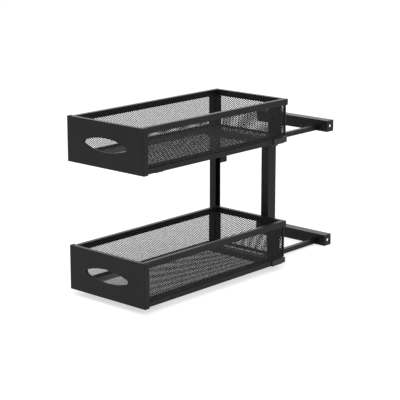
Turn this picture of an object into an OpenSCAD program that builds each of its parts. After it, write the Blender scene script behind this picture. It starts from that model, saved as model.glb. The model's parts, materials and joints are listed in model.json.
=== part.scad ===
// Two-tier pull-out cabinet basket: two mesh baskets that slide forward
// on runners, carried by a rear frame that screws to the cabinet.
// Millimetres. +X right, +Y to the back of the cabinet, +Z up.
// The origin is the centre of the bounding box at the cabinet floor.

/* [Basket] */
// Width across the front panel
basket_w = 190; // [170:1:240]
// Depth from the front panel's face to the rear top rail
basket_d = 400; // [340:1:480]
// Height of the front panel
basket_h = 83.3; // [70:0.1:110]
// How far the side frames stand in from the front panel's edges
side_inset = 4.8; // [4:0.1:8]
// How far the rear mesh stands in from the rear top rail
rear_inset = 5.5; // [4:0.1:8]
// Height of a top rail
rail_h = 12; // [10:0.5:16]
// Width of a top rail
rail_w = 8.5; // [7:0.5:12]
// Wall of the top rails' tube
rail_wall = 1.2; // [1:0.1:2]
// Thickness of the expanded metal sheet
mesh_t = 1.2; // [0.8:0.1:2]
// Openings along the basket in the grille that stands for the fine mesh
grille_long = 12; // [8:1:12]
// Openings across the basket in the grille
grille_wide = 6; // [4:1:6]
// Openings up the basket in the grille
grille_high = 2; // [1:1:2]
// Width of the grille's bars
grille_bar = 8.5; // [6:0.5:9]
// Side of a rear corner post
corner_w = 3.5; // [3:0.1:5]
// Width of a bottom rail
bottom_rail_w = 13; // [12:0.5:16]
// Thickness of a bottom rail
bottom_rail_t = 2.2; // [1.6:0.1:3]

/* [Front panel] */
// Thickness of the front panel's sheet
panel_t = 1.5; // [1:0.1:2]
// Depth of the folds on the front panel's two sides
side_fold = 11.7; // [8:0.1:16]
// Depth of the folds on the front panel's top and bottom
edge_fold = 8; // [6:0.5:11]
// Length of the lens-shaped handle slot
slot_l = 107; // [90:1:125]
// Height of the lens-shaped handle slot
slot_h = 27; // [24:0.5:32]
// Radius of the handle slot's rounded tips
slot_tip_r = 5; // [3:0.5:8]
// How far the handle slot's centre lies below the panel's centre
slot_drop = 0; // [0:0.5:5]

/* [Slides] */
// Height of a runner channel
runner_h = 10.5; // [10:0.1:14]
// Width of a runner channel
runner_w = 10; // [9:0.1:12]
// Wall of a runner channel
runner_wall = 1.5; // [1:0.1:1.8]
// Gap from the front panel's folds to the runners' front ends
runner_front = 0.6; // [0.5:0.1:10]
// Gap from the rear top rail's face to the runners' rear ends
runner_rear = 4; // [2:0.5:8]
// Running clearance between a glide and its channel
glide_clear = 0.3; // [0.2:0.05:0.4]
// Extra clearance of the steel slide bar beyond its glides
bar_relief = 0.3; // [0.2:0.05:0.6]
// Thickness of the slide's upright leg
leg_t = 2.7; // [2:0.1:3]
// Length of one nylon glide
glide_l = 30; // [20:1:45]
// Gap from the front panel's folds to the slides' front ends
slide_front = 0.8; // [0.5:0.1:10]
// Length of a runner end cap
cap_l = 39; // [25:1:50]
// Wall of a runner end cap
cap_wall = 2; // [1.5:0.1:3]
// Thickness of the lip under a runner end cap
cap_lip = 1; // [0.8:0.1:2]

/* [Frame] */
// Height of a front panel's lower edge above the cabinet floor
base_clear = 12; // [11.8:0.1:16]
// Height from the lower basket to the upper basket
tier_pitch = 239.5; // [200:0.5:320]
// Gap from the rear top rail's face to the posts
post_gap = 4; // [3.5:0.1:8]
// Left post's left face, from the baskets' left edge
left_post_x = -17.4; // [-30:0.1:-10]
// Width of the left post
left_post_w = 15; // [12:0.5:20]
// Depth of the left post
left_post_d = 16.4; // [14:0.1:24]
// Right post's left face, from the baskets' left edge
right_post_x = 118; // [100:0.5:125]
// Width of the right post
right_post_w = 17.7; // [14:0.1:22]
// Depth of the right post
right_post_d = 23; // [18:0.5:28]
// Wall of a post
post_wall = 1.6; // [1.2:0.1:2.2]
// Height of the right post's foot above the lower basket's level
right_post_foot = 43; // [30:1:60]
// Side of the square rod that runs back to each rear bar
rod_w = 9.5; // [8:0.1:12]
// Wall of a square rod's tube
rod_wall = 1.2; // [1:0.1:2]
// How far a rod's top lies below the basket level
rod_drop = 1; // [0.5:0.1:2]
// Rod's offset out from the right post's left face
right_rod_out = 1.5; // [0:0.1:4]
// Depth of the cross bar under the rear of each basket
cross_d = 16; // [14:0.5:20]
// Height of the cross bar under the rear of each basket
cross_h = 12; // [11:0.1:12]
// Wall of the cross bar's tube
cross_wall = 1.5; // [1:0.1:2]
// How far the cross bar's tube stops short of the right runner
cross_short = 25; // [20:1:35]
// How far the cross bars and straps reach above the basket level
seat_rise = 0.5; // [0.3:0.1:1]
// Gap from the front panel's face to the front strap
strap_y = 40; // [30:1:80]
// Depth of the front strap
strap_d = 20; // [15:1:40]
// Thickness of the front strap
strap_t = 2.5; // [2:0.1:3]
// How far the strap's ends and the cross bar's tab stand in under a runner
seat_in = 5.4; // [4:0.1:6]

/* [Rear bars] */
// Gap from the rear top rail's face to the rear bars
bar_gap = 174; // [80:1:220]
// Rear bars' left ends, from the baskets' left edge
bar_x = -35; // [-60:1:-20]
// Length of a rear bar
bar_l = 184; // [175:1:230]
// Depth of a rear bar
bar_d = 21; // [16:0.5:30]
// Height of a rear bar
bar_h = 22.8; // [18:0.1:30]
// Wall of a rear bar
bar_wall = 1.5; // [1:0.1:2.5]
// Radius of the screw holes in a rear bar's front
front_hole_r = 2.5; // [1.5:0.1:3.5]
// Distance from a rear bar's end to its front hole
front_hole_in = 9; // [7:0.5:20]
// Radius of the hole in each end of a rear bar
end_hole_r = 3; // [2:0.1:5]

/* [Stops and fittings] */
// Width of a stop plate
stop_w = 31; // [25:1:36]
// Height of a stop plate above the basket level
stop_h = 80; // [60:1:82]
// Thickness of a stop plate
stop_t = 2; // [1.5:0.1:2.5]
// How far a stop plate's shoulder and flange stay below its ear
ear_h = 10; // [8:0.5:14]
// How far the upper right stop plate's flange reaches below the basket level
flange_drop = 19; // [18:0.5:30]
// Depth of the upper right stop plate's flange
flange_d = 26; // [24:1:40]
// Radius of a stop bumper
bumper_r = 3.5; // [2:0.1:4]
// Gap between a stop bumper and the basket
bumper_gap = 0.3; // [0.2:0.05:0.6]
// Depth of the left cleat
cleat_d = 20; // [15:0.1:30]
// Height of the left cleat
cleat_h = 11.5; // [8:0.5:16]
// Width of the left cleat
cleat_w = 9; // [6:0.5:12]
// How far the left cleat's top lies below the upper basket level
cleat_drop = 61.5; // [30:0.5:120]
// Radius of a front foot
foot_r = 9; // [6:0.5:9.5]
// Distance from the basket's middle to a front foot
foot_x = 50; // [30:1:60]
// Radius of a screw's shank
screw_r = 2; // [1.5:0.1:2]
// Clearance around a screw's shank
screw_clear = 0.2; // [0.1:0.05:0.4]
// Radius of a screw's head
screw_head_r = 3.8; // [3:0.1:4]
// Height of a screw's head
screw_head_h = 2.2; // [1.5:0.1:3]
// Length of a screw's shank
screw_l = 7; // [5:0.5:10]

/* [Hidden] */
$fn = 32;
// Overlap that makes a cut pass right through a face
cut = 1;

// Levels of the two baskets
lower_z = base_clear;
upper_z = base_clear + tier_pitch;

// Basket: side frame, rear wall and floor
side_x1 = basket_w - side_inset;
rail_x0 = side_x1 - rail_w;
rear_y1 = basket_d - rear_inset;
rail_z0 = basket_h - rail_h;
mesh_back = (rail_w - mesh_t) / 8;
mesh_x1 = side_x1 - mesh_back;
mesh_x0 = mesh_x1 - mesh_t;

// Slides: the channel sits on the cross bar and strap
runner_z0 = seat_rise;
runner_z1 = runner_z0 + runner_h;
runner_x0 = side_x1 - runner_w;
fold_y1 = max(side_fold, edge_fold);
runner_y0 = fold_y1 + runner_front;
slide_y0 = fold_y1 + slide_front;
runner_y1 = basket_d - runner_rear;
seat_x1 = side_x1 - seat_in;
basket_gap = 1;
floor_z0 = runner_z1 + basket_gap;
floor_z1 = floor_z0 + bottom_rail_t;
leg_x1 = runner_x0 - glide_clear;
leg_x0 = leg_x1 - leg_t;
slide_y1 = rear_y1;
bar_clear = glide_clear + bar_relief;

// Frame
post_y = basket_d + post_gap;
right_post_x1 = right_post_x + right_post_w;
rod_z1 = -rod_drop;
rod_z0 = rod_z1 - rod_w;
right_rod_x = right_post_x - right_rod_out;
cross_z0 = seat_rise - cross_h;
strap_z0 = seat_rise - strap_t;
bar_y = basket_d + bar_gap;
bar_z0 = -base_clear;
bar_mid_z = bar_z0 + bar_h / 2;
stop_y = post_y - stop_t;
shoulder_z = stop_h - ear_h;
ear_w = 2 * bumper_r + 2;
flange_x1 = right_post_x1 + stop_t;

// Screws through the right stop plates' flanges: [y, z] from the post's
// front face and from the lower or upper basket level
lower_screws = [[right_post_d / 2, right_post_foot + 9],
                [right_post_d / 2, shoulder_z - 6]];
upper_screws = [[right_post_d * 0.3, (rod_z0 - flange_drop) / 2],
                [right_post_d * 0.7, (rod_z0 - flange_drop) / 2]];

// Bounding box of the whole part, for the origin
box_x0 = min(bar_x, left_post_x);
box_x1 = basket_w;
box_y1 = bar_y + bar_d;
mid_x = (box_x0 + box_x1) / 2;
mid_y = box_y1 / 2;

BLACK = [0.16, 0.16, 0.17];
MESH = [0.22, 0.22, 0.23];
NYLON = [0.3, 0.3, 0.3];
RUBBER = [0.1, 0.1, 0.1];
ZINC = [0.45, 0.45, 0.47];

FRAME_NODES = [
    "left_post", "right_post",
    "lower_rear_bar", "upper_rear_bar",
    "lower_right_rod", "upper_right_rod",
    "lower_cross_bar", "upper_cross_bar",
    "lower_front_strap", "upper_front_strap",
    "lower_left_runner", "lower_right_runner",
    "upper_left_runner", "upper_right_runner",
    "lower_runner_caps", "upper_runner_caps",
    "lower_left_stop_plate", "lower_right_stop_plate",
    "upper_left_stop_plate", "upper_right_stop_plate",
    "stop_bumpers", "left_cleat", "front_feet", "post_screws"];
LOWER_NODES = [
    "lower_front_panel",
    "lower_left_top_rail", "lower_right_top_rail", "lower_rear_top_rail",
    "lower_left_bottom_rail", "lower_right_bottom_rail",
    "lower_rear_bottom_rail",
    "lower_left_corner_post", "lower_right_corner_post",
    "lower_left_mesh", "lower_right_mesh", "lower_rear_mesh",
    "lower_floor_mesh",
    "lower_left_slide", "lower_right_slide", "lower_glides"];
UPPER_NODES = [
    "upper_front_panel",
    "upper_left_top_rail", "upper_right_top_rail", "upper_rear_top_rail",
    "upper_left_bottom_rail", "upper_right_bottom_rail",
    "upper_rear_bottom_rail",
    "upper_left_corner_post", "upper_right_corner_post",
    "upper_left_mesh", "upper_right_mesh", "upper_rear_mesh",
    "upper_floor_mesh",
    "upper_left_slide", "upper_right_slide", "upper_glides"];

// ---- Helpers ----

// A block between two limits on each axis
module span(x, y, z) {
    translate([x[0], y[0], z[0]])
        cube([x[1] - x[0], y[1] - y[0], z[1] - z[0]]);
}

// A sheet lying flat, with n[0] by n[1] openings between plain bars
module grille(size, n) {
    open_x = (size[0] - (n[0] + 1) * grille_bar) / n[0];
    open_y = (size[1] - (n[1] + 1) * grille_bar) / n[1];
    difference() {
        cube([size[0], size[1], mesh_t]);
        for (i = [0 : n[0] - 1], j = [0 : n[1] - 1]) {
            translate([grille_bar + i * (open_x + grille_bar),
                       grille_bar + j * (open_y + grille_bar), -cut])
                cube([open_x, open_y, mesh_t + 2 * cut]);
        }
    }
}

// From the baskets' left front corner to the part's origin
module place(z = 0) {
    translate([-mid_x, -mid_y, z]) children();
}

// The same piece on the basket's left side
module on_left() {
    translate([basket_w, 0, 0]) mirror([1, 0, 0]) children();
}

// ---- Basket pieces, at basket level 0 ----

// Lens between two arcs with rounded tips, standing in the XZ plane
module slot_cut() {
    deep = panel_t + 2 * cut;
    tip_r = slot_tip_r;
    arc_r = (pow(slot_l / 2 - tip_r, 2) + pow(slot_h / 2, 2) - pow(tip_r, 2))
            / (slot_h - 2 * tip_r);
    rise = arc_r - slot_h / 2;
    tip_x = slot_l / 2 - tip_r;
    // The arcs end where they meet the tips' circles
    end_x = tip_x * arc_r / (arc_r - tip_r);
    mid_z = basket_h / 2 - slot_drop;
    translate([basket_w / 2, panel_t + cut, mid_z])
        rotate([90, 0, 0]) {
            intersection() {
                translate([0, rise, 0])
                    cylinder(r = arc_r, h = deep, $fn = 180);
                translate([0, -rise, 0])
                    cylinder(r = arc_r, h = deep, $fn = 180);
                translate([-end_x, -slot_h, 0])
                    cube([2 * end_x, 2 * slot_h, deep]);
            }
            for (x = [-tip_x, tip_x]) {
                translate([x, 0, 0])
                    cylinder(r = tip_r, h = deep, $fn = 48);
            }
        }
}

module front_panel() {
    fold_x = [basket_w - rail_x0, rail_x0];
    color(BLACK)
    difference() {
        union() {
            span([0, basket_w], [0, panel_t], [0, basket_h]);
            span([0, panel_t], [0, side_fold], [0, basket_h]);
            span([basket_w - panel_t, basket_w], [0, side_fold], [0, basket_h]);
            span(fold_x, [0, edge_fold], [basket_h - panel_t, basket_h]);
            span(fold_x, [0, edge_fold], [0, panel_t]);
        }
        slot_cut();
    }
}

module right_top_rail() {
    color(BLACK)
    difference() {
        span([rail_x0, side_x1], [panel_t, basket_d], [rail_z0, basket_h]);
        span([rail_x0 + rail_wall, side_x1 - rail_wall],
             [panel_t - cut, basket_d + cut],
             [rail_z0 + rail_wall, basket_h - rail_wall]);
    }
}

module rear_top_rail() {
    color(BLACK)
    difference() {
        span([basket_w - rail_x0, rail_x0], [basket_d - rail_w, basket_d],
             [rail_z0, basket_h]);
        span([basket_w - rail_x0 - cut, rail_x0 + cut],
             [basket_d - rail_w + rail_wall, basket_d - rail_wall],
             [rail_z0 + rail_wall, basket_h - rail_wall]);
    }
}

module right_bottom_rail() {
    color(BLACK)
    span([side_x1 - bottom_rail_w, side_x1], [panel_t, rear_y1],
         [floor_z0, floor_z1]);
}

module rear_bottom_rail() {
    inner_x = side_x1 - bottom_rail_w;
    color(BLACK)
    span([basket_w - inner_x, inner_x], [rear_y1 - bottom_rail_w, rear_y1],
         [floor_z0, floor_z1]);
}

module right_corner_post() {
    color(BLACK)
    span([side_x1 - corner_w, side_x1], [rear_y1 - corner_w, rear_y1],
         [floor_z1, rail_z0]);
}

module right_mesh() {
    size = [rear_y1 - corner_w - panel_t, rail_z0 - floor_z1];
    color(MESH)
    translate([mesh_x0, panel_t, floor_z1])
        multmatrix([[0, 0, 1, 0], [1, 0, 0, 0], [0, 1, 0, 0]])
            grille(size, [grille_long, grille_high]);
}

module rear_mesh() {
    post_x = side_x1 - corner_w;
    size = [2 * post_x - basket_w, rail_z0 - floor_z1];
    color(MESH)
    translate([basket_w - post_x, rear_y1 - mesh_back, floor_z1])
        rotate([90, 0, 0])
            grille(size, [grille_wide, grille_high]);
}

module floor_mesh() {
    size = [2 * mesh_x0 - basket_w, rear_y1 - corner_w - panel_t];
    color(MESH)
    translate([basket_w - mesh_x0, panel_t, floor_z1])
        grille(size, [grille_wide, grille_long]);
}

// A bar of the given clearance in the runner, with its leg up to the floor
module slide_bar(y, clear) {
    channel_x1 = side_x1 - runner_wall;
    z = [runner_z0 + runner_wall + clear, runner_z1 - runner_wall - clear];
    span([leg_x0, channel_x1 - clear], y, z);
}

module right_slide() {
    bar_y0 = slide_y0 + glide_l;
    bar_y1 = slide_y1 - glide_l;
    leg_z0 = runner_z0 + runner_wall + bar_clear;
    color(ZINC)
    union() {
        slide_bar([bar_y0, bar_y1], bar_clear);
        span([leg_x0, leg_x1], [bar_y0, bar_y1], [leg_z0, floor_z0]);
    }
}

module right_glide_pair() {
    leg_z0 = runner_z0 + runner_wall + glide_clear;
    for (y0 = [slide_y0, slide_y1 - glide_l]) {
        union() {
            slide_bar([y0, y0 + glide_l], glide_clear);
            span([leg_x0, leg_x1], [y0, y0 + glide_l], [leg_z0, floor_z0]);
        }
    }
}

module glides() {
    color(NYLON) {
        right_glide_pair();
        on_left() right_glide_pair();
    }
}

// ---- Frame pieces, at basket level 0 ----

module right_runner() {
    color(BLACK)
    difference() {
        span([runner_x0, side_x1], [runner_y0, runner_y1],
             [runner_z0, runner_z1]);
        span([runner_x0 - cut, side_x1 - runner_wall],
             [runner_y0 - cut, runner_y1 + cut],
             [runner_z0 + runner_wall, runner_z1 - runner_wall]);
    }
}

// Cap around a runner's outer face, with a lip under it ahead of the cross bar
module right_runner_cap() {
    lip_y1 = post_y - cross_d - 0.3;
    cap_y0 = runner_y1 - cap_l;
    union() {
        span([side_x1, side_x1 + cap_wall], [cap_y0, runner_y1],
             [runner_z0, runner_z1]);
        span([runner_x0 + runner_wall, side_x1 + cap_wall], [cap_y0, lip_y1],
             [runner_z0 - cap_lip, runner_z0]);
    }
}

module runner_caps() {
    color(NYLON) {
        right_runner_cap();
        on_left() right_runner_cap();
    }
}

// Tube with a flat tab that carries the right runner
module cross_bar() {
    tube_x1 = runner_x0 - cross_short;
    y0 = post_y - cross_d;
    color(BLACK)
    union() {
        difference() {
            span([left_post_x, tube_x1], [y0, post_y], [cross_z0, seat_rise]);
            span([left_post_x - cut, tube_x1 + cut],
                 [y0 + cross_wall, post_y - cross_wall],
                 [cross_z0 + cross_wall, seat_rise - cross_wall]);
        }
        span([tube_x1, seat_x1], [y0, runner_y1], [strap_z0, seat_rise]);
    }
}

module front_strap() {
    color(BLACK)
    span([basket_w - seat_x1, seat_x1], [strap_y, strap_y + strap_d],
         [strap_z0, seat_rise]);
}

// Square tube from the cross bar back to the rear bar
module right_rod() {
    x1 = right_rod_x + rod_w;
    color(BLACK)
    difference() {
        span([right_rod_x, x1], [post_y, bar_y], [rod_z0, rod_z1]);
        span([right_rod_x + rod_wall, x1 - rod_wall],
             [post_y - cut, bar_y + cut],
             [rod_z0 + rod_wall, rod_z1 - rod_wall]);
    }
}

// Folded channel, open at the back, with a hole in each end and two in front
module rear_bar() {
    x1 = bar_x + bar_l;
    color(BLACK)
    difference() {
        span([bar_x, x1], [bar_y, bar_y + bar_d], [bar_z0, bar_z0 + bar_h]);
        span([bar_x + bar_wall, x1 - bar_wall],
             [bar_y + bar_wall, bar_y + bar_d + cut],
             [bar_z0 + bar_wall, bar_z0 + bar_h - bar_wall]);
        for (x = [bar_x + front_hole_in, x1 - front_hole_in]) {
            translate([x, bar_y + bar_wall + cut, bar_mid_z])
                rotate([90, 0, 0])
                    cylinder(r = front_hole_r, h = bar_wall + 2 * cut);
        }
        for (x = [bar_x - cut, x1 - bar_wall - cut]) {
            translate([x, bar_y + bar_d / 2, bar_mid_z])
                rotate([0, 90, 0])
                    cylinder(r = end_hole_r, h = bar_wall + 2 * cut);
        }
    }
}

// Plate before the left post, with an ear that holds the bumper
module left_stop_plate() {
    x1 = left_post_x + stop_w;
    color(BLACK)
    union() {
        span([left_post_x, x1], [stop_y, post_y], [seat_rise, shoulder_z]);
        span([x1 - ear_w, x1], [stop_y, post_y], [seat_rise, stop_h]);
    }
}

// Holes through the right stop plates' flanges and the right post
module screw_holes(screws) {
    for (s = screws) {
        translate([right_post_x1 - post_wall - cut, post_y + s[0], s[1]])
            rotate([0, 90, 0])
                cylinder(r = screw_r + screw_clear,
                         h = post_wall + stop_t + 2 * cut);
    }
}

module right_stop_plate(flange_z0, depth, screws) {
    color(BLACK)
    difference() {
        union() {
            span([right_post_x1, right_post_x1 + stop_w], [stop_y, post_y],
                 [seat_rise, stop_h]);
            span([right_post_x1, flange_x1], [post_y, post_y + depth],
                 [flange_z0, shoulder_z]);
        }
        screw_holes(screws);
    }
}

module bumper_pair() {
    z = stop_h - bumper_r - 1;
    for (x = [left_post_x + stop_w - bumper_r - 1,
              right_post_x1 + stop_w / 2]) {
        translate([x, stop_y, z])
            rotate([90, 0, 0])
                cylinder(r = bumper_r, h = stop_y - basket_d - bumper_gap);
    }
}

module screw_set(screws) {
    for (s = screws) {
        translate([flange_x1 + screw_head_h, post_y + s[0], s[1]])
            rotate([0, -90, 0]) {
                cylinder(r = screw_head_r, h = screw_head_h);
                cylinder(r = screw_r, h = screw_head_h + screw_l);
            }
    }
}

// ---- Frame pieces that stand once, from the cabinet floor ----

module left_post() {
    z = [lower_z + rod_z1, upper_z + rod_z0];
    x1 = left_post_x + left_post_w;
    color(BLACK)
    place()
    difference() {
        span([left_post_x, x1], [post_y, post_y + left_post_d], z);
        span([left_post_x + post_wall, x1 + cut],
             [post_y + post_wall, post_y + left_post_d - post_wall],
             [z[0] - cut, z[1] + cut]);
    }
}

module right_post() {
    z = [lower_z + right_post_foot, upper_z + rod_z0];
    color(BLACK)
    place()
    difference() {
        span([right_post_x, right_post_x1], [post_y, post_y + right_post_d],
             z);
        span([right_post_x - cut, right_post_x1 - post_wall],
             [post_y + post_wall, post_y + right_post_d - post_wall],
             [z[0] - cut, z[1] + cut]);
        translate([0, 0, lower_z]) screw_holes(lower_screws);
        translate([0, 0, upper_z]) screw_holes(upper_screws);
    }
}

module left_cleat() {
    y0 = post_y + left_post_d;
    x0 = left_post_x + left_post_w - cleat_w;
    z1 = upper_z - cleat_drop;
    color(BLACK)
    place()
    span([x0, x0 + cleat_w], [y0, y0 + cleat_d], [z1 - cleat_h, z1]);
}

module front_feet() {
    color(RUBBER)
    place()
    for (side = [-1, 1]) {
        translate([basket_w / 2 + side * foot_x, strap_y + strap_d / 2, 0])
            cylinder(r = foot_r, h = lower_z + strap_z0);
    }
}

module stop_bumpers() {
    color(RUBBER) {
        place(lower_z) bumper_pair();
        place(upper_z) bumper_pair();
    }
}

module post_screws() {
    color(ZINC) {
        place(lower_z) screw_set(lower_screws);
        place(upper_z) screw_set(upper_screws);
    }
}

// ---- One line for each node ----

left_post();
right_post();
place(lower_z) rear_bar();  // lower_rear_bar
place(upper_z) rear_bar();  // upper_rear_bar
place(lower_z) right_rod();  // lower_right_rod
place(upper_z) right_rod();  // upper_right_rod
place(lower_z) cross_bar();  // lower_cross_bar
place(upper_z) cross_bar();  // upper_cross_bar
place(lower_z) front_strap();  // lower_front_strap
place(upper_z) front_strap();  // upper_front_strap
place(lower_z) on_left() right_runner();  // lower_left_runner
place(lower_z) right_runner();  // lower_right_runner
place(upper_z) on_left() right_runner();  // upper_left_runner
place(upper_z) right_runner();  // upper_right_runner
place(lower_z) runner_caps();  // lower_runner_caps
place(upper_z) runner_caps();  // upper_runner_caps
place(lower_z) left_stop_plate();  // lower_left_stop_plate
place(lower_z) right_stop_plate(seat_rise, right_post_d, lower_screws);  // lower_right_stop_plate
place(upper_z) left_stop_plate();  // upper_left_stop_plate
place(upper_z) right_stop_plate(-flange_drop, flange_d, upper_screws);  // upper_right_stop_plate
stop_bumpers();
left_cleat();
front_feet();
post_screws();

place(lower_z) front_panel();  // lower_front_panel
place(lower_z) on_left() right_top_rail();  // lower_left_top_rail
place(lower_z) right_top_rail();  // lower_right_top_rail
place(lower_z) rear_top_rail();  // lower_rear_top_rail
place(lower_z) on_left() right_bottom_rail();  // lower_left_bottom_rail
place(lower_z) right_bottom_rail();  // lower_right_bottom_rail
place(lower_z) rear_bottom_rail();  // lower_rear_bottom_rail
place(lower_z) on_left() right_corner_post();  // lower_left_corner_post
place(lower_z) right_corner_post();  // lower_right_corner_post
place(lower_z) on_left() right_mesh();  // lower_left_mesh
place(lower_z) right_mesh();  // lower_right_mesh
place(lower_z) rear_mesh();  // lower_rear_mesh
place(lower_z) floor_mesh();  // lower_floor_mesh
place(lower_z) on_left() right_slide();  // lower_left_slide
place(lower_z) right_slide();  // lower_right_slide
place(lower_z) glides();  // lower_glides

place(upper_z) front_panel();  // upper_front_panel
place(upper_z) on_left() right_top_rail();  // upper_left_top_rail
place(upper_z) right_top_rail();  // upper_right_top_rail
place(upper_z) rear_top_rail();  // upper_rear_top_rail
place(upper_z) on_left() right_bottom_rail();  // upper_left_bottom_rail
place(upper_z) right_bottom_rail();  // upper_right_bottom_rail
place(upper_z) rear_bottom_rail();  // upper_rear_bottom_rail
place(upper_z) on_left() right_corner_post();  // upper_left_corner_post
place(upper_z) right_corner_post();  // upper_right_corner_post
place(upper_z) on_left() right_mesh();  // upper_left_mesh
place(upper_z) right_mesh();  // upper_right_mesh
place(upper_z) rear_mesh();  // upper_rear_mesh
place(upper_z) floor_mesh();  // upper_floor_mesh
place(upper_z) on_left() right_slide();  // upper_left_slide
place(upper_z) right_slide();  // upper_right_slide
place(upper_z) glides();  // upper_glides
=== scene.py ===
import json
import math

import bmesh
import bpy
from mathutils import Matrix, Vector


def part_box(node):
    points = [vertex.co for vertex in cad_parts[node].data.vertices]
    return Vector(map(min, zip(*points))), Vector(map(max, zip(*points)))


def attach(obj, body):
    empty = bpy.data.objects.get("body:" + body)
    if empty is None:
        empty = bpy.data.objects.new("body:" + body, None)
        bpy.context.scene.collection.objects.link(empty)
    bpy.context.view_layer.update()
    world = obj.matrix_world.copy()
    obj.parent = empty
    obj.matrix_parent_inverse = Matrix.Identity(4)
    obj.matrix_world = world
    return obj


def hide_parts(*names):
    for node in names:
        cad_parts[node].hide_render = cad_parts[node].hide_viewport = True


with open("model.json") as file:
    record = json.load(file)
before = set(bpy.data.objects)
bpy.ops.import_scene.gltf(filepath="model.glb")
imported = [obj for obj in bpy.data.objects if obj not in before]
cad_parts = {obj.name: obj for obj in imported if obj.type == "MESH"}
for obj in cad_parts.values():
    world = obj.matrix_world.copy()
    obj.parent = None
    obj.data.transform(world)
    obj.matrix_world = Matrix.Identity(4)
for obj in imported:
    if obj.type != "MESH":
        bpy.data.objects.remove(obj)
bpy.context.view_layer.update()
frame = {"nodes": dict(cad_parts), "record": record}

MM = 0.001
TIERS = ("lower", "upper")
X, Y, Z = 0, 1, 2

# ---- Camera: the photograph's viewing angle ----

CAMERA_PLACE = (1.76059, -1.98875, 0.79793)
CAMERA_PITCH = 0.24378
CAMERA_YAW = 0.73173
CAMERA_LENS = 127.506

camera_data = bpy.data.cameras.new("camera")
camera_data.sensor_width = 36.0
camera_data.lens = CAMERA_LENS
camera = bpy.data.objects.new("camera", camera_data)
camera.location = CAMERA_PLACE
camera.rotation_euler = (math.pi / 2 - CAMERA_PITCH, 0.0, CAMERA_YAW)
bpy.context.scene.collection.objects.link(camera)
bpy.context.scene.camera = camera
bpy.context.scene.view_settings.view_transform = "Standard"


# ---- Materials ----

# Noise mostly stays between these two values, so colours and roughness are spread over them
NOISE_LOW, NOISE_HIGH = 0.3, 0.7
NOISE_DETAIL = 3.0
CLOUD_SCALE = 26.0
BUMP_STRENGTH = 0.35


def new_material(name):
    """A material with its node tree, its shader and the object's own coordinates."""
    material = bpy.data.materials.new(name)
    material.use_nodes = True
    tree = material.node_tree
    shader = tree.nodes["Principled BSDF"]
    place = tree.nodes.new("ShaderNodeTexCoord").outputs["Object"]
    return material, tree, shader, place


def noise(tree, place, scale, stretch=None):
    """Noise over the object's own coordinates, with its scale times stretch on each axis."""
    if stretch:
        mapping = tree.nodes.new("ShaderNodeMapping")
        mapping.inputs["Scale"].default_value = stretch
        tree.links.new(place, mapping.inputs["Vector"])
        place = mapping.outputs["Vector"]
    node = tree.nodes.new("ShaderNodeTexNoise")
    node.inputs["Scale"].default_value = scale
    node.inputs["Detail"].default_value = NOISE_DETAIL
    tree.links.new(place, node.inputs["Vector"])
    return node.outputs["Fac"]


def spread(tree, source, low, high):
    """The noise as a number between low and high."""
    node = tree.nodes.new("ShaderNodeMapRange")
    node.inputs["From Min"].default_value = NOISE_LOW
    node.inputs["From Max"].default_value = NOISE_HIGH
    node.inputs["To Min"].default_value = low
    node.inputs["To Max"].default_value = high
    tree.links.new(source, node.inputs["Value"])
    return node.outputs["Result"]


def tint(tree, shader, source, dark, light):
    """The noise as the shader's colour, between dark and light."""
    ramp = tree.nodes.new("ShaderNodeValToRGB")
    first, last = ramp.color_ramp.elements
    first.position = NOISE_LOW
    first.color = (*dark, 1)
    last.position = NOISE_HIGH
    last.color = (*light, 1)
    tree.links.new(source, ramp.inputs["Fac"])
    tree.links.new(ramp.outputs["Color"], shader.inputs["Base Color"])


def bump(tree, shader, source, distance):
    """The noise as the shader's relief."""
    node = tree.nodes.new("ShaderNodeBump")
    node.inputs["Strength"].default_value = BUMP_STRENGTH
    node.inputs["Distance"].default_value = distance
    tree.links.new(source, node.inputs["Height"])
    tree.links.new(node.outputs["Normal"], shader.inputs["Normal"])


def surface(name, dark, light, rough, gloss, grain, depth, metallic=0.0, stretch=None):
    """Colour in clouds a few centimetres wide, and a grain that also breaks up the gloss."""
    material, tree, shader, place = new_material(name)
    shader.inputs["Specular IOR Level"].default_value = gloss
    shader.inputs["Metallic"].default_value = metallic
    tint(tree, shader, noise(tree, place, CLOUD_SCALE), dark, light)
    fine = noise(tree, place, grain, stretch)
    tree.links.new(spread(tree, fine, *rough), shader.inputs["Roughness"])
    bump(tree, shader, fine, depth)
    return material


COAT = surface("powder_coat", dark=(0.0062, 0.0066, 0.0076), light=(0.0098, 0.0103, 0.0116),
               rough=(0.33, 0.42), gloss=0.15, grain=1400.0, depth=0.06 * MM)
MESH = surface("mesh_coat", dark=(0.007, 0.0072, 0.0078), light=(0.011, 0.0112, 0.012),
               rough=(0.42, 0.52), gloss=0.15, grain=1400.0, depth=0.05 * MM)
NYLON = surface("nylon", dark=(0.0165, 0.0185, 0.0165), light=(0.0235, 0.026, 0.0235),
                rough=(0.42, 0.52), gloss=0.25, grain=900.0, depth=0.04 * MM)
RUBBER = surface("rubber", dark=(0.008, 0.008, 0.008), light=(0.013, 0.013, 0.0125),
                 rough=(0.7, 0.85), gloss=0.2, grain=1100.0, depth=0.08 * MM)
STEEL = surface("dark_zinc", dark=(0.16, 0.16, 0.165), light=(0.21, 0.21, 0.215),
                rough=(0.34, 0.48), gloss=0.5, grain=700.0, depth=0.02 * MM,
                metallic=1.0, stretch=(1.0, 0.04, 1.0))
FASTENER = surface("black_zinc", dark=(0.03, 0.03, 0.032), light=(0.045, 0.045, 0.048),
                   rough=(0.34, 0.46), gloss=0.5, grain=1500.0, depth=0.02 * MM, metallic=1.0)


# ---- Mesh helpers ----

def new_piece(name, mesh, material, body):
    """An object that rides on a body and has the given material."""
    mesh.materials.append(material)
    piece = bpy.data.objects.new(name, mesh)
    bpy.context.scene.collection.objects.link(piece)
    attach(piece, body)
    return piece


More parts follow.
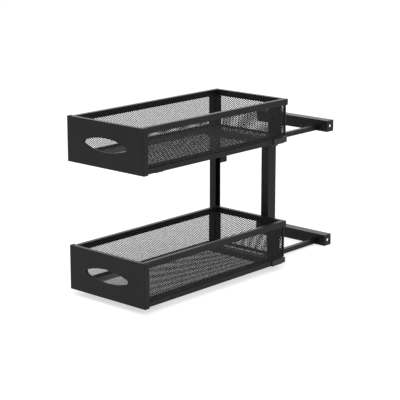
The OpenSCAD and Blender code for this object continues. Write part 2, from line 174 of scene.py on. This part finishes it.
def turn_out(mesh):
    """Turns every face of a closed mesh outward."""
    shape = bmesh.new()
    shape.from_mesh(mesh)
    bmesh.ops.recalc_face_normals(shape, faces=shape.faces)
    shape.to_mesh(mesh)
    shape.free()


def smooth(mesh):
    """Shades every face smooth."""
    for polygon in mesh.polygons:
        polygon.use_smooth = True


BODY_OF = {node: body for body, members in frame["record"]["behaviour"]["bodies"].items()
           for node in members}

# Edges sharper than this are rounded
SHARP_ANGLE = math.radians(40)


def soften(piece, width, segments=2):
    """Rounds the piece's sharp edges and keeps its flat faces flat in shading."""
    edge = piece.modifiers.new("edges", "BEVEL")
    edge.width = width
    edge.segments = segments
    edge.limit_method = "ANGLE"
    edge.angle_limit = SHARP_ANGLE
    edge.harden_normals = True
    edge.use_clamp_overlap = True
    # Sliding pushes some corners of the tubes' ends out of the CAD shape
    edge.loop_slide = False
    piece.modifiers.new("flat_faces", "WEIGHTED_NORMAL").keep_sharp = True
    smooth(piece.data)


# An edge this near a panel's side lies on it
ON_FACE = 0.01 * MM
# Points nearer than this are one, and triangles that turn less than this are one face
MERGE_DISTANCE = 0.001 * MM
FLAT_ANGLE = math.radians(0.5)
BEND_STEPS = 4


def front_bends(shape, low, high):
    """The four long edges round a panel's front face."""
    def on(edge, axis, level):
        return all(abs(v.co[axis] - level) < ON_FACE for v in edge.verts)

    return [e for e in shape.edges if on(e, Y, low.y)
            and any(on(e, axis, level[axis]) for axis in (X, Z) for level in (low, high))]


def dress(node, material, width, bend=0.0):
    """The node's own shape with its sharp edges rounded, in place of the node.

    A panel's bend is the radius of the long edges round its front face.
    """
    shape = bmesh.new()
    shape.from_mesh(frame["nodes"][node].data)
    bmesh.ops.remove_doubles(shape, verts=shape.verts, dist=MERGE_DISTANCE)
    bmesh.ops.dissolve_limit(shape, angle_limit=FLAT_ANGLE,
                             verts=shape.verts, edges=shape.edges)
    if bend:
        bmesh.ops.bevel(shape, geom=front_bends(shape, *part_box(node)), offset=bend,
                        segments=BEND_STEPS, profile=0.5, affect="EDGES",
                        clamp_overlap=True)
    mesh = bpy.data.meshes.new(node + "_shape")
    shape.to_mesh(mesh)
    shape.free()
    piece = new_piece(node + "_dressed", mesh, material, BODY_OF[node])
    soften(piece, width)
    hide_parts(node)


# A block's faces, by the numbers of its corners: X counts 4, Y counts 2 and Z counts 1
BLOCK_FACES = ((0, 1, 3, 2), (4, 6, 7, 5), (0, 4, 5, 1), (2, 3, 7, 6), (0, 2, 6, 4), (1, 5, 7, 3))


def block(name, low, high, width, material, body):
    """A rounded block between two corners."""
    mesh = bpy.data.meshes.new(name)
    shape = bmesh.new()
    corners = [shape.verts.new((x, y, z)) for x in (low[X], high[X])
               for y in (low[Y], high[Y]) for z in (low[Z], high[Z])]
    for face in BLOCK_FACES:
        shape.faces.new([corners[i] for i in face])
    shape.to_mesh(mesh)
    shape.free()
    piece = new_piece(name, mesh, material, body)
    soften(piece, width, segments=3)


# ---- Expanded metal ----

# The diamonds' long and short diagonals
CELL = (5.2 * MM, 3.5 * MM)
REAR_CELL = (6.4 * MM, 4.1 * MM)
# The hole's share of each diamond's side
OPEN_SIDE = 0.615
STRAND_DEPTH = 0.5 * MM
# How far a sheet reaches into the rails and posts round it
TUCK = 1.2 * MM


def centre_of(ring):
    """The mean of the ring's points."""
    return sum(p[0] for p in ring) / len(ring), sum(p[1] for p in ring) / len(ring)


def cell_corners(u, v, columns, rows):
    """The diamond round a centre on the half-cell grid, cut at the sheet's border."""
    ring = [(u + 1, v), (u, v + 1), (u - 1, v), (u, v - 1)]
    inside = [p for p in ring if 0 <= p[0] <= columns and 0 <= p[1] <= rows]
    if len(inside) == 2:
        inside.append((u, v))
    if len(inside) == 3:
        mid = centre_of(inside)
        inside.sort(key=lambda p: math.atan2(p[1] - mid[1], p[0] - mid[0]))
    return inside


def lattice(node, long_axis, short_axis, grow_long, grow_short, cell):
    """A sheet of diamonds with a ridge on both faces, at the middle of the CAD sheet.

    The sheet reaches past the node's low and high ends by the two lengths in each grow.
    """
    low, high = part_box(node)
    thin_axis = X + Y + Z - long_axis - short_axis
    start = (low[long_axis] - grow_long[0], low[short_axis] - grow_short[0])
    size = (high[long_axis] + grow_long[1] - start[0],
            high[short_axis] + grow_short[1] - start[1])
    middle = (low[thin_axis] + high[thin_axis]) / 2
    # Half cells along the sheet and across it
    columns = 2 * round(size[0] / cell[0])
    rows = 2 * round(size[1] / cell[1])
    points, faces, rims, edges = [], [], {}, {}

    def point(u, v, off):
        spot = [0.0, 0.0, 0.0]
        spot[long_axis] = start[0] + size[0] * u / columns
        spot[short_axis] = start[1] + size[1] * v / rows
        spot[thin_axis] = middle + off
        points.append(spot)
        return len(points) - 1

    def rim(spot):
        """The two ridges' points at a diamond's corner, made once for all its cells."""
        if spot not in rims:
            rims[spot] = (point(*spot, STRAND_DEPTH / 2), point(*spot, -STRAND_DEPTH / 2))
        return rims[spot]

    for u in range(columns + 1):
        for v in range(u % 2, rows + 1, 2):
            ring = cell_corners(u, v, columns, rows)
            around = [rim(p) for p in ring]
            count = len(ring)
            for i in range(count):
                pair = frozenset((ring[i], ring[(i + 1) % count]))
                edges[pair] = edges.get(pair, 0) + 1
            if u in (0, columns) and v in (0, rows):
                # The quarter cell in a corner of the sheet is solid
                faces.append([a[0] for a in around])
                faces.append([a[1] for a in reversed(around)])
                continue
            mid = centre_of(ring)
            hole = [point(mid[0] + (p[0] - mid[0]) * OPEN_SIDE,
                          mid[1] + (p[1] - mid[1]) * OPEN_SIDE, 0.0) for p in ring]
            for i in range(count):
                j = (i + 1) % count
                faces.append([around[i][0], around[j][0], hole[j], hole[i]])
                faces.append([around[j][1], around[i][1], hole[i], hole[j]])
    # An edge that only one cell uses lies on the sheet's border, which is closed here
    for pair, uses in edges.items():
        if uses == 1:
            a, b = (rims[p] for p in pair)
            faces.append([a[0], b[0], b[1], a[1]])

    mesh = bpy.data.meshes.new(node + "_lattice")
    mesh.from_pydata(points, [], faces)
    turn_out(mesh)
    piece = new_piece(node + "_lattice", mesh, MESH, BODY_OF[node])
    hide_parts(node)


# The long axis and the short axis of each floor's diamonds. They lie crosswise, or the
# picture shows patches where one floor is seen through the other
FLOOR_AXES = {"lower": (Y, X), "upper": (X, Y)}

for tier in TIERS:
    lattice(f"{tier}_left_mesh", Y, Z, (0.0, TUCK), (TUCK, TUCK), CELL)
    lattice(f"{tier}_right_mesh", Y, Z, (0.0, TUCK), (TUCK, TUCK), CELL)
    lattice(f"{tier}_rear_mesh", X, Z, (TUCK, TUCK), (TUCK, TUCK), REAR_CELL)
    lattice(f"{tier}_floor_mesh", *FLOOR_AXES[tier], (0.0, 0.0), (0.0, 0.0), CELL)


# ---- Sheet metal, tubes and fittings with rounded edges ----

PANEL_EDGE = 0.22 * MM
PANEL_BEND = 0.95 * MM
# Material, rounding and nodes, for each tier
TIER_PIECES = (
    (COAT, 0.5 * MM, ("left_top_rail", "right_top_rail", "rear_top_rail")),
    (COAT, 0.4 * MM, ("left_bottom_rail", "right_bottom_rail", "rear_bottom_rail",
                      "left_corner_post", "right_corner_post")),
    (COAT, 0.45 * MM, ("rear_bar", "right_rod", "cross_bar", "front_strap", "left_stop_plate",
                       "right_stop_plate", "left_runner", "right_runner")),
    (NYLON, 0.4 * MM, ("runner_caps",)),
)
# Material, rounding and nodes of the rest
FRAME_PIECES = (
    (COAT, 0.5 * MM, ("left_post", "right_post")),
    (COAT, 0.8 * MM, ("left_cleat",)),
    (RUBBER, 1.2 * MM, ("front_feet",)),
    (RUBBER, 0.5 * MM, ("stop_bumpers",)),
    (FASTENER, 0.7 * MM, ("post_screws",)),
)
for tier in TIERS:
    dress(f"{tier}_front_panel", COAT, PANEL_EDGE, bend=PANEL_BEND)
    for material, width, names in TIER_PIECES:
        for name in names:
            dress(f"{tier}_{name}", material, width)
for material, width, names in FRAME_PIECES:
    for name in names:
        dress(name, material, width)

# Plastic plugs in the open ends of the tubes
PLUG_DEEP = 6.0 * MM
PLUG_SUNK = 0.3 * MM
PLUG_EDGE = 0.6 * MM
RAIL_WALL = 1.2 * MM
CROSS_WALL = 1.5 * MM
for tier in TIERS:
    for side in ("left", "right"):
        low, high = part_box(f"{tier}_{side}_top_rail")
        block(f"{tier}_{side}_rail_plug",
              (low.x + RAIL_WALL, high.y - PLUG_DEEP, low.z + RAIL_WALL),
              (high.x - RAIL_WALL, high.y - PLUG_SUNK, high.z - RAIL_WALL),
              PLUG_EDGE, NYLON, f"{tier}_basket")
    low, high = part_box(f"{tier}_cross_bar")
    block(f"{tier}_cross_plug",
          (low.x + PLUG_SUNK, low.y + CROSS_WALL, low.z + CROSS_WALL),
          (low.x + PLUG_DEEP, high.y - CROSS_WALL, high.z - CROSS_WALL),
          PLUG_EDGE, NYLON, "frame")

# A collar folded inward round each handle slot
SLOT_LENGTH = 107.0 * MM
SLOT_HEIGHT = 27.0 * MM
SLOT_TIP = 5.0 * MM
ARC_STEPS = 36
TIP_STEPS = 14
# Its section in millimetres: how far out from the slot's edge, and how deep behind the face
COLLAR = [(0.3, 0.02), (-0.1, 0.05), (-0.5, 0.3), (-0.75, 0.8), (-0.8, 1.4), (-0.8, 4.2),
          (-0.6, 4.45), (-0.2, 4.45), (0.0, 4.2), (0.0, 2.0), (0.3, 1.3)]


def slot_outline():
    """Points and outward directions round the slot, from its centre, in X and Z."""
    tip_x = SLOT_LENGTH / 2 - SLOT_TIP
    radius = ((tip_x ** 2 + (SLOT_HEIGHT / 2) ** 2 - SLOT_TIP ** 2)
              / (SLOT_HEIGHT - 2 * SLOT_TIP))
    rise = radius - SLOT_HEIGHT / 2
    half = math.asin(tip_x / (radius - SLOT_TIP))
    # The upper arc and the right tip, each point as (angle, radius, centre's X and Z)
    turns = [(angle, radius, 0.0, -rise) for angle in
             (half * (2 * i / ARC_STEPS - 1) for i in range(ARC_STEPS))]
    turns += [(angle, SLOT_TIP, tip_x, 0.0) for angle in
              (half + (math.pi - 2 * half) * i / TIP_STEPS for i in range(TIP_STEPS))]
    # The same turned by half a turn gives the lower arc and the left tip
    outline = []
    for side in (1, -1):
        for angle, size, x, z in turns:
            away = (math.sin(angle) * side, math.cos(angle) * side)
            outline.append(((x * side + size * away[0], z * side + size * away[1]), away))
    return outline


def slot_collar(tier):
    """The collar's section carried round the slot."""
    low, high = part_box(f"{tier}_front_panel")
    centre = ((low.x + high.x) / 2, (low.z + high.z) / 2)
    outline = slot_outline()
    points, faces = [], []
    sides = len(COLLAR)
    for (x, z), away in outline:
        for out, deep in COLLAR:
            points.append((centre[0] + x + away[0] * out * MM, low.y + deep * MM,
                           centre[1] + z + away[1] * out * MM))
    for i in range(len(outline)):
        a, b = i * sides, (i + 1) % len(outline) * sides
        for k in range(sides):
            j = (k + 1) % sides
            faces.append((a + k, a + j, b + j, b + k))
    mesh = bpy.data.meshes.new(f"{tier}_slot_collar")
    mesh.from_pydata(points, [], faces)
    turn_out(mesh)
    smooth(mesh)
    new_piece(f"{tier}_slot_collar", mesh, COAT, f"{tier}_basket")


for tier in TIERS:
    slot_collar(tier)


LATHE_SIDES = 32


def lathe(name, profile, place, material):
    """A round frame piece from (radius, depth) pairs along +Y, closed on its axis."""
    points, faces, rings = [], [], []
    for radius, depth in profile:
        count = 1 if radius == 0 else LATHE_SIDES
        rings.append([len(points) + k for k in range(count)])
        for k in range(count):
            turn = 2 * math.pi * k / LATHE_SIDES
            points.append((place[X] + radius * MM * math.cos(turn), place[Y] + depth * MM,
                           place[Z] + radius * MM * math.sin(turn)))
    for a, b in zip(rings, rings[1:]):
        for k in range(LATHE_SIDES):
            j = (k + 1) % LATHE_SIDES
            corners = [a[k % len(a)], a[j % len(a)], b[j % len(b)], b[k % len(b)]]
            faces.append(list(dict.fromkeys(corners)))
    mesh = bpy.data.meshes.new(name)
    mesh.from_pydata(points, [], faces)
    turn_out(mesh)
    # The flat ends are fans of triangles
    for polygon in mesh.polygons:
        polygon.use_smooth = len(polygon.vertices) > 3
    new_piece(name, mesh, material, "frame")


# Threaded inserts in the rear bars' front holes, and a screw beside each right rod, as
# (radius, depth behind the bar's front) in millimetres
INSERT = [(0, 5.2), (2.4, 5.2), (2.4, -0.1), (3.6, -0.1), (3.6, -0.45), (3.3, -0.6),
          (1.9, -0.6), (1.65, -0.3), (1.6, 4.0), (0, 4.2)]
SCREW = [(0, 0.4), (3.5, 0.4), (3.6, -0.2), (3.4, -1.0), (2.9, -1.6), (2.0, -2.0),
         (1.2, -2.1), (1.1, -1.0), (0, -0.9)]
HOLE_IN = 9.0 * MM
SCREW_FROM_ROD = 33.0 * MM
SCREW_DOWN = 6.5 * MM
for tier in TIERS:
    low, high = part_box(f"{tier}_rear_bar")
    for side, x in (("left", low.x + HOLE_IN), ("right", high.x - HOLE_IN)):
        lathe(f"{tier}_{side}_insert", INSERT, (x, low.y, (low.z + high.z) / 2),
              FASTENER)
    rod_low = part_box(f"{tier}_right_rod")[0]
    lathe(f"{tier}_bar_screw", SCREW,
          (rod_low.x - SCREW_FROM_ROD, low.y, (low.z + high.z) / 2 - SCREW_DOWN),
          FASTENER)

# Slides and glides keep their CAD shape
for tier in TIERS:
    for name, material in ((f"{tier}_left_slide", STEEL), (f"{tier}_right_slide", STEEL),
                           (f"{tier}_glides", NYLON)):
        for place in frame["nodes"][name].material_slots:
            place.material = material


# ---- Floor, world and lamps ----

def shown_white(tree):
    """1 for rays from the camera and for glossy and transmitted ones, 0 for the rest."""
    path = tree.nodes.new("ShaderNodeLightPath")
    total = path.outputs["Is Camera Ray"]
    for kind in ("Is Glossy Ray", "Is Transmission Ray"):
        either = tree.nodes.new("ShaderNodeMath")
        either.operation = "MAXIMUM"
        tree.links.new(total, either.inputs[0])
        tree.links.new(path.outputs[kind], either.inputs[1])
        total = either.outputs[0]
    return total


FLOOR_HALF = 6.0
FLOOR_DROP = 0.2 * MM
FLOOR_DIFFUSE = 0.72
FLOOR_ROUGH = 0.9
FLOOR_GLOW = 0.57
WORLD_LIGHT = 0.62

floor_mesh = bpy.data.meshes.new("floor")
floor_mesh.from_pydata([(x * FLOOR_HALF, y * FLOOR_HALF, -FLOOR_DROP)
                        for x, y in ((-1, -1), (1, -1), (1, 1), (-1, 1))], [], [(0, 1, 2, 3)])
floor = bpy.data.objects.new("floor", floor_mesh)
bpy.context.scene.collection.objects.link(floor)
floor_material, tree, shader, _ = new_material("floor")
shader.inputs["Base Color"].default_value = (FLOOR_DIFFUSE, FLOOR_DIFFUSE, FLOOR_DIFFUSE, 1)
shader.inputs["Roughness"].default_value = FLOOR_ROUGH
shader.inputs["Specular IOR Level"].default_value = 0.0
shader.inputs["Emission Color"].default_value = (1, 1, 1, 1)
glow = tree.nodes.new("ShaderNodeMath")
glow.operation = "MULTIPLY"
glow.inputs[1].default_value = FLOOR_GLOW
tree.links.new(shown_white(tree), glow.inputs[0])
tree.links.new(glow.outputs[0], shader.inputs["Emission Strength"])
floor_mesh.materials.append(floor_material)

world = bpy.data.worlds.new("world")
bpy.context.scene.world = world
world.use_nodes = True
tree = world.node_tree
background = tree.nodes["Background"]
background.inputs["Color"].default_value = (1, 1, 1, 1)
level = tree.nodes.new("ShaderNodeMapRange")
level.inputs["To Min"].default_value = WORLD_LIGHT
level.inputs["To Max"].default_value = 1.0
tree.links.new(shown_white(tree), level.inputs["Value"])
tree.links.new(level.outputs["Result"], background.inputs["Strength"])


def lamp(name, place, aim, size, power):
    """A square lamp that faces its aim and that the camera doesn't see."""
    data = bpy.data.lights.new(name, "AREA")
    data.size = size
    data.energy = power
    light = bpy.data.objects.new(name, data)
    light.location = place
    light.rotation_euler = (Vector(aim) - Vector(place)).to_track_quat("-Z", "Y").to_euler()
    light.visible_camera = False
    bpy.context.scene.collection.objects.link(light)


lamp("key", place=(0.5, -1.5, 2.4), aim=(0, 0, 0.15), size=1.6, power=22.0)
lamp("fill", place=(2.2, -0.4, 1.1), aim=(0, 0, 0.15), size=1.4, power=12.0)
lamp("rim", place=(-1.7, 2.1, 1.2), aim=(0, 0, 0.2), size=1.6, power=6.0)
